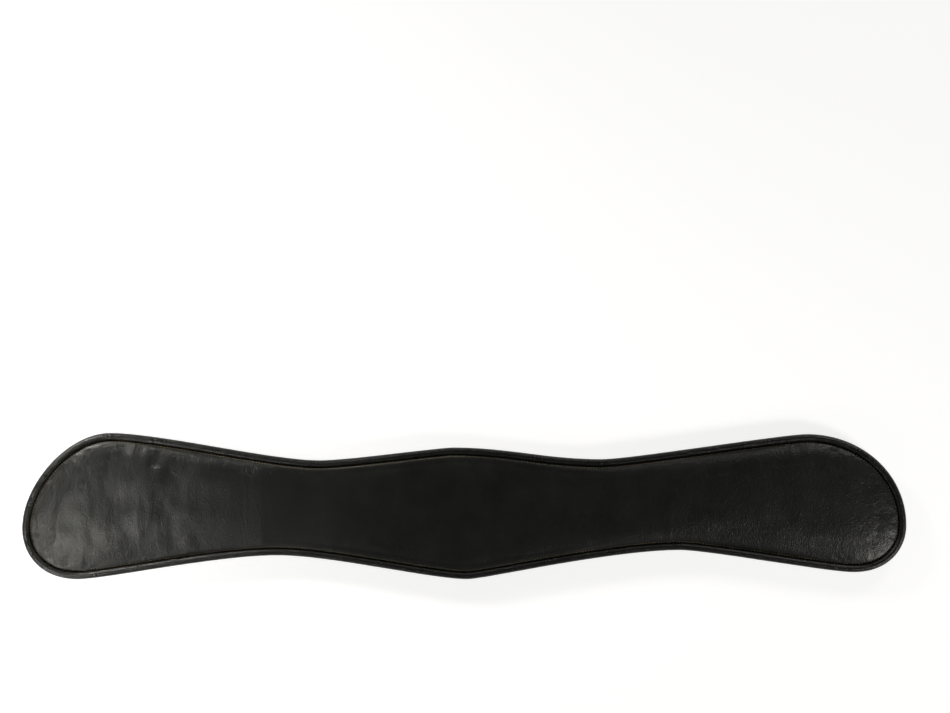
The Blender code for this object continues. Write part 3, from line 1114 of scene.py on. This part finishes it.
def makeTabs():
    for sideName in ("left", "right"):
        low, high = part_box("tab_" + sideName)
        shape = slabForm(low, high, outer["strapCorner"], outer["strapBevel"])
        piece = settle("tab_piece_" + sideName, shape, strapLeather, 40)
        wing = sideName + "_wing"
        settled(piece, wing, "strap_leather", "tab_" + sideName)
        sew("tab_seam_" + sideName, [
            (boxPath(low, high, outer["stitchInset"], low[2] - 0.0001), True),
            (boxPath(low, high, outer["stitchInset"] + 0.0028, low[2] - 0.0001), True),
        ], wing)


def makeSeam():
    path = outline(pad["seam"] + 0.0001, 0, 0.001)
    for point in path:
        point.z = padHeight(point.x, point.y) + seam["radius"] * 0.6
    sewHalves("seam", path)


makeSeam()
print("Seam sewn")
makeShell()
makeStrap()
makeWebbing()
makeTabs()
print("Outer strap laid")

# Elastics, buckles and keepers
lane = {
    "barX": 0.280,
    "barZ": 0.0052,
    "wire": 0.002,
    "frameLength": 0.033,
    "frameInside": 0.0265,
    "tongue": 0.0014,
    "tongueOver": 0.0035,
    "roller": (0.0023, 0.0032),
    "leather": 0.0022,
    "loop": 0.003,
    "slot": 0.0066,
    "chapeLength": 0.034,
    "gap": 0.0003,
    "elasticBend": (0.216, 0.246),
}


def strip(path, across, width, thick, slot=None, closed=False):
    # A leather strip drawn along a path, then given its thickness and soft edges
    half = Vector(across) * width / 2
    near = Vector(across) * (width / 2 - 0.0012)
    steps = [-half, -near, near, half]
    if slot:
        middle = Vector(across) * slot[2] / 2
        steps = [-half, -near, -middle, middle, near, half]
    shape = bmesh.new()
    row = [shape.verts.new(path[0] + step) for step in steps]
    edges = [shape.edges.new(pair) for pair in zip(row, row[1:])]
    spare = []
    line = list(path) + ([path[0]] if closed else [])
    for index, (point, after) in enumerate(zip(line, line[1:])):
        grown = bmesh.ops.extrude_edge_only(shape, edges=edges)["geom"]
        verts = [item for item in grown if isinstance(item, bmesh.types.BMVert)]
        bmesh.ops.translate(shape, vec=after - point, verts=verts)
        faces = [item for item in grown if isinstance(item, bmesh.types.BMFace)]
        if slot and slot[0] <= index < slot[1]:
            reach = Vector(across).dot((point + after) / 2)
            spare += [
                face for face in faces
                if abs(face.calc_center_median().dot(Vector(across)) - reach) < slot[2] / 4
            ]
        edges = [
            item for item in grown
            if isinstance(item, bmesh.types.BMEdge) and all(v in verts for v in item.verts)
        ]
    bmesh.ops.delete(shape, geom=spare, context="FACES")
    bmesh.ops.remove_doubles(shape, verts=shape.verts[:], dist=0.00001)
    bmesh.ops.recalc_face_normals(shape, faces=shape.faces[:])
    data = bpy.data.meshes.new("Strip")
    shape.to_mesh(data)
    shape.free()
    piece = addObject("Strip", data)
    leathered = piece.modifiers.new("Leather", "SOLIDIFY")
    leathered.thickness = thick
    leathered.offset = 0
    leathered.use_even_offset = True
    softer = piece.modifiers.new("Edges", "BEVEL")
    softer.width = 0.0004
    softer.segments = 2
    softer.limit_method = "ANGLE"
    softer.angle_limit = math.radians(50)
    made = meshOf(piece)
    bpy.data.objects.remove(piece)
    return made


def makeElastic(name, sideName):
    low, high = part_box("elastic_" + name)
    shape = slabForm(low, high, 0, 0.0005)
    side = -1 if sideName == "left" else 1
    inner, outerEnd = lane["elasticBend"]
    for number in range(9):
        at = inner + (outerEnd - inner) * number / 8
        cutAt(shape, (side * at, 0, 0), (1, 0, 0))
    piece = settle("elastic_web_" + name, shape, elastic, 40)
    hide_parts("elastic_" + name)
    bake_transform(piece)


def makeLane(sideName, laneName):
    name = sideName + "_" + laneName
    side = -1 if sideName == "left" else 1
    low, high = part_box("chape_" + name)
    laneY = (low[1] + high[1]) / 2
    width = high[1] - low[1]
    outward = (side, 0, 0)
    up = (0, 0, 1)
    barX, barZ = lane["barX"], lane["barZ"]
    pull = "pull_" + name

    def at(x, y, z):
        return Vector((side * x, laneY + y, z))

    makeElastic(name, sideName)

    # Chape: a strip folded over the bar, slotted for the tongue
    middle = lane["loop"] + lane["leather"] / 2
    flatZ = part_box("elastic_" + name)[0][2] - lane["gap"] - lane["leather"] / 2
    path = [at(barX - lane["chapeLength"], 0, barZ + middle)]
    path.append(at(barX - 0.012, 0, barZ + middle))
    path += arc(at(barX, 0, barZ), middle, 90, -90, 12, outward, up)
    path.append(at(barX - 0.005, 0, barZ - middle + 0.0006))
    path += [at(barX - 0.011, 0, flatZ - 0.0004), at(barX - 0.014, 0, flatZ)]
    path.append(at(barX - lane["chapeLength"], 0, flatZ))
    slot = (1, len(path) - 3, lane["slot"])
    data = strip(path, (0, 1, 0), width, lane["leather"], slot)
    chape = settleMesh("chape_strip_" + name, data, strapLeather, 40)
    settled(chape, pull, "strap_leather", "chape_" + name)
    inner = sorted((side * (barX - lane["chapeLength"]), side * (barX - 0.0145)))
    lowBox = (inner[0], laneY - width / 2)
    highBox = (inner[1], laneY + width / 2)
    faceZ = flatZ - lane["leather"] / 2 - 0.0001
    sew("chape_seam_" + name, [(boxPath(lowBox, highBox, 0.0026, faceZ, 0.002), True)], pull)

    # Buckle frame
    around = lane["wire"] + lane["gap"] + lane["tongue"]
    rollerX = barX + lane["frameLength"]
    rollerZ = barZ - around + lane["tongue"] + lane["gap"] + lane["roller"][1]
    halfWide = lane["frameInside"] / 2 + lane["wire"]
    corner = 0.003
    ring = []
    for cornerX, cornerY, start in (
        (rollerX, halfWide, 0),
        (barX, halfWide, 90),
        (barX, -halfWide, 180),
        (rollerX, -halfWide, 270),
    ):
        inX = corner if cornerX == barX else -corner
        inY = -corner if cornerY > 0 else corner
        spot = at(cornerX + inX, cornerY + inY, 0)
        ring += arc(spot, corner, start, start + 90, 7, outward, (0, 1, 0))
    for point in ring:
        share = (side * point.x - barX) / lane["frameLength"]
        point.z = barZ + (rollerZ - barZ) * share
    data = sweep(ring, lane["wire"], 4, closed=True)
    wire = settleMesh("frame_wire_" + name, data, steel)
    settled(wire, "buckle_" + name, "steel", "buckle_frame_" + name)

    # Tongue, its tip rounded
    line = arc(at(barX, 0, barZ), around, -30, 270, 22, outward, up)
    tip = rollerX + lane["tongueOver"]
    radii = [1.0] * len(line)
    for back, share in ((0.012, 1.0), (0.004, 0.95), (0.0008, 0.8), (0.0003, 0.62), (0, 0.3)):
        line.append(at(tip - back, 0, barZ - around))
        radii.append(share)
    radii[0] = 0.6
    data = sweep(line, lane["tongue"], 4, radii=radii)
    tongue = settleMesh("tongue_wire_" + name, data, steel)
    settled(tongue, "tongue_" + name, "steel", "buckle_tongue_" + name)

    makeRoller(name, at(rollerX, 0, rollerZ))
    makeKeeper(name, sideName, laneY)


def makeRoller(name, centre):
    # A tube turned about its axis, its ends rolled over
    low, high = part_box("buckle_roller_" + name)
    half = (high[1] - low[1]) / 2
    inside, outside = lane["roller"]
    section = [
        (inside, -half + 0.0003), (inside + 0.0003, -half), (outside - 0.0004, -half),
        (outside - 0.0001, -half + 0.0003), (outside, -half + 0.001),
        (outside, half - 0.001), (outside - 0.0001, half - 0.0003),
        (outside - 0.0004, half), (inside + 0.0003, half), (inside, half - 0.0003),
    ]
    shape = bmesh.new()
    verts = [shape.verts.new((across, along, 0)) for across, along in section]
    edges = [shape.edges.new(pair) for pair in zip(verts, verts[1:] + verts[:1])]
    bmesh.ops.spin(
        shape, geom=verts + edges, cent=(0, 0, 0), axis=(0, 1, 0),
        angle=2 * math.pi, steps=32, use_merge=True,
    )
    bmesh.ops.remove_doubles(shape, verts=shape.verts[:], dist=0.00001)
    bmesh.ops.recalc_face_normals(shape, faces=shape.faces[:])
    bmesh.ops.translate(shape, vec=centre, verts=shape.verts[:])
    piece = settle("roller_tube_" + name, shape, steel, 35)
    settled(piece, "roller_" + name, "steel", "buckle_roller_" + name)


def makeKeeper(name, sideName, laneY):
    # A leather loop that takes the billet's end
    low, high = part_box("keeper_" + name)
    thick = 0.0016
    halfY = (high[1] - low[1] - thick) / 2
    top, bottom = high[2] - thick / 2, low[2] + thick / 2
    bend = 0.0012
    path = []
    for cornerY, cornerZ, start in (
        (halfY, top, 90), (halfY, bottom, 0), (-halfY, bottom, -90), (-halfY, top, -180),
    ):
        inY = -bend if cornerY > 0 else bend
        inZ = -bend if cornerZ == top else bend
        middle = ((low[0] + high[0]) / 2, laneY + cornerY + inY, cornerZ + inZ)
        path += arc(middle, bend, start, start - 90, 5, (0, 1, 0), (0, 0, 1))
    data = strip(path, (1, 0, 0), high[0] - low[0], thick, closed=True)
    piece = settleMesh("keeper_loop_" + name, data, strapLeather, 40)
    settled(piece, sideName + "_wing", "strap_leather", "keeper_" + name)


for sideName in ("left", "right"):
    for laneName in ("front", "rear"):
        makeLane(sideName, laneName)
print("Buckles made")

# Centre ring
centreRing = {
    "barY": -0.022,
    "wire": 0.0018,
    "width": 0.027,
    "leather": 0.0018,
    "loop": 0.0021,
    "chapeWidth": 0.017,
    "chapeLength": 0.030,
}


def makeCentreRing():
    barY = centreRing["barY"]
    leatherThick = centreRing["leather"]
    middle = centreRing["loop"] + leatherThick / 2
    ringZ = centreRing["loop"] + leatherThick
    top = ringZ + middle
    flatZ = top - leatherThick - lane["gap"]
    length = centreRing["chapeLength"]
    path = [Vector((0, barY + length, top)), Vector((0, barY, top))]
    path += arc((0, barY, ringZ), middle, 90, -90, 12, (0, -1, 0), (0, 0, 1))[1:]
    path.append(Vector((0, barY + 0.004, ringZ - middle + 0.0006)))
    path += [Vector((0, barY + 0.010, flatZ - 0.0004)), Vector((0, barY + 0.013, flatZ))]
    path.append(Vector((0, barY + length, flatZ)))
    data = strip(path, (1, 0, 0), centreRing["chapeWidth"], leatherThick)
    chape = settleMesh("ring_chape_strip", data, strapLeather, 40)
    settled(chape, "centre", "strap_leather", "ring_chape")
    half = centreRing["chapeWidth"] / 2
    lowBox = (-half, barY + 0.013)
    highBox = (half, barY + length)
    faceZ = flatZ - leatherThick / 2 - 0.0001
    sew("ring_chape_seam", [(boxPath(lowBox, highBox, 0.0024, faceZ, 0.002), True)], "centre")

    half = centreRing["width"] / 2 - centreRing["wire"]
    corner = 0.0025
    ring = arc((half - corner, barY - corner, ringZ), corner, 90, 0, 6, (1, 0, 0), (0, 1, 0))
    ring += arc((0, barY - 0.007, ringZ), half, 0, -180, 28, (1, 0, 0), (0, 1, 0))
    ring += arc((-half + corner, barY - corner, ringZ), corner, 180, 90, 6, (1, 0, 0), (0, 1, 0))
    data = sweep(ring, centreRing["wire"], 4, closed=True)
    piece = settleMesh("ring_wire", data, steel)
    settled(piece, "ring", "steel", "centre_ring")


makeCentreRing()
print("Centre ring hung")

# Stage and light
light = {
    "floor": 0.5,
    "glow": 0.75,
    "bounce": 0.5,  # the glow that reaches the girth
    "panels": [
        # place, aim, width, height, power, spread in degrees
        ((-0.85, -0.34, 1.35), (-0.44, -0.07, 0), 0.30, 0.30, 0.20, 21),
        ((1.2, -0.75, 1.1), (0.36, -0.03, 0), 0.4, 0.3, 1.0, 60),
        ((-1.0, 1.1, 0.8), (-0.34, 0.03, 0), 0.35, 0.3, 1.5, 50),
        ((-0.9, -0.95, 0.7), (-0.36, -0.03, 0), 0.3, 0.3, 0.5, 50),
        ((0.9, 1.3, 0.9), (0.25, 0, 0), 0.5, 0.4, 3.5, 160),
    ],
    "warmth": (1.0, 0.98, 0.92),
    "sky": 0.2,
    "zenith": 0.04,
}


def makeStage():
    shape = bmesh.new()
    bmesh.ops.create_grid(shape, x_segments=2, y_segments=2, size=6)
    data = bpy.data.meshes.new("Floor")
    shape.to_mesh(data)
    shape.free()
    material, tree, shader = newMaterial("Pale floor", 0.9)
    shade = light["floor"]
    shader.inputs["Base Color"].default_value = (shade, shade, shade, 1)
    shader.inputs["Specular IOR Level"].default_value = 0.1
    shader.inputs["Emission Color"].default_value = (1, 1, 1, 1)
    path = addNode(tree, "LightPath", (-700, 100))
    seen = addNode(tree, "MapRange", (-400, 0))
    setInputs(seen, **{"To Min": light["bounce"], "To Max": light["glow"]})
    tree.links.new(path.outputs["Is Camera Ray"], seen.inputs["Value"])
    tree.links.new(seen.outputs["Result"], shader.inputs["Emission Strength"])
    geometry = addNode(tree, "NewGeometry", (-300, 300))
    clear = addNode(tree, "BsdfTransparent", (0, -300))
    both = addNode(tree, "MixShader", (200, 100))
    tree.links.new(geometry.outputs["Backfacing"], both.inputs["Fac"])
    tree.links.new(shader.outputs["BSDF"], both.inputs[1])
    tree.links.new(clear.outputs["BSDF"], both.inputs[2])
    tree.links.new(both.outputs["Shader"], tree.nodes["Material Output"].inputs["Surface"])
    data.materials.append(material)
    floor = addObject("Floor", data)


def makeLights():
    for index, panel in enumerate(light["panels"]):
        place, aim, width, height, power, spread = panel
        data = bpy.data.lights.new("Panel %d" % (index + 1), "AREA")
        data.shape = "RECTANGLE"
        data.size = width
        data.size_y = height
        data.energy = power
        data.spread = math.radians(spread)
        data.color = light["warmth"]
        lamp = bpy.data.objects.new(data.name, data)
        lamp.location = place
        towards = Vector(aim) - Vector(place)
        lamp.rotation_euler = towards.to_track_quat("-Z", "Y").to_euler()
        scene.collection.objects.link(lamp)
    world = bpy.data.worlds.new("Studio")
    scene.world = world
    world.use_nodes = True
    tree = world.node_tree
    back = tree.nodes["Background"]
    where = addNode(tree, "TexCoord", (-900, 0))
    split = addNode(tree, "SeparateXYZ", (-700, 0))
    tree.links.new(where.outputs["Generated"], split.inputs["Vector"])
    height = addNode(tree, "MapRange", (-500, 0))
    setInputs(
        height,
        **{
            "From Min": 0.1,
            "From Max": 0.9,
            "To Min": light["sky"],
            "To Max": light["zenith"],
        },
    )
    tree.links.new(split.outputs["Z"], height.inputs["Value"])
    path = addNode(tree, "LightPath", (-500, 300))
    seen = addNode(tree, "Mix", (-200, 100))
    seen.inputs["B"].default_value = 0.9
    tree.links.new(path.outputs["Is Camera Ray"], seen.inputs["Factor"])
    tree.links.new(height.outputs["Result"], seen.inputs["A"])
    tree.links.new(seen.outputs["Result"], back.inputs["Strength"])
    back.inputs["Color"].default_value = (1, 1, 1, 1)


makeStage()
makeLights()
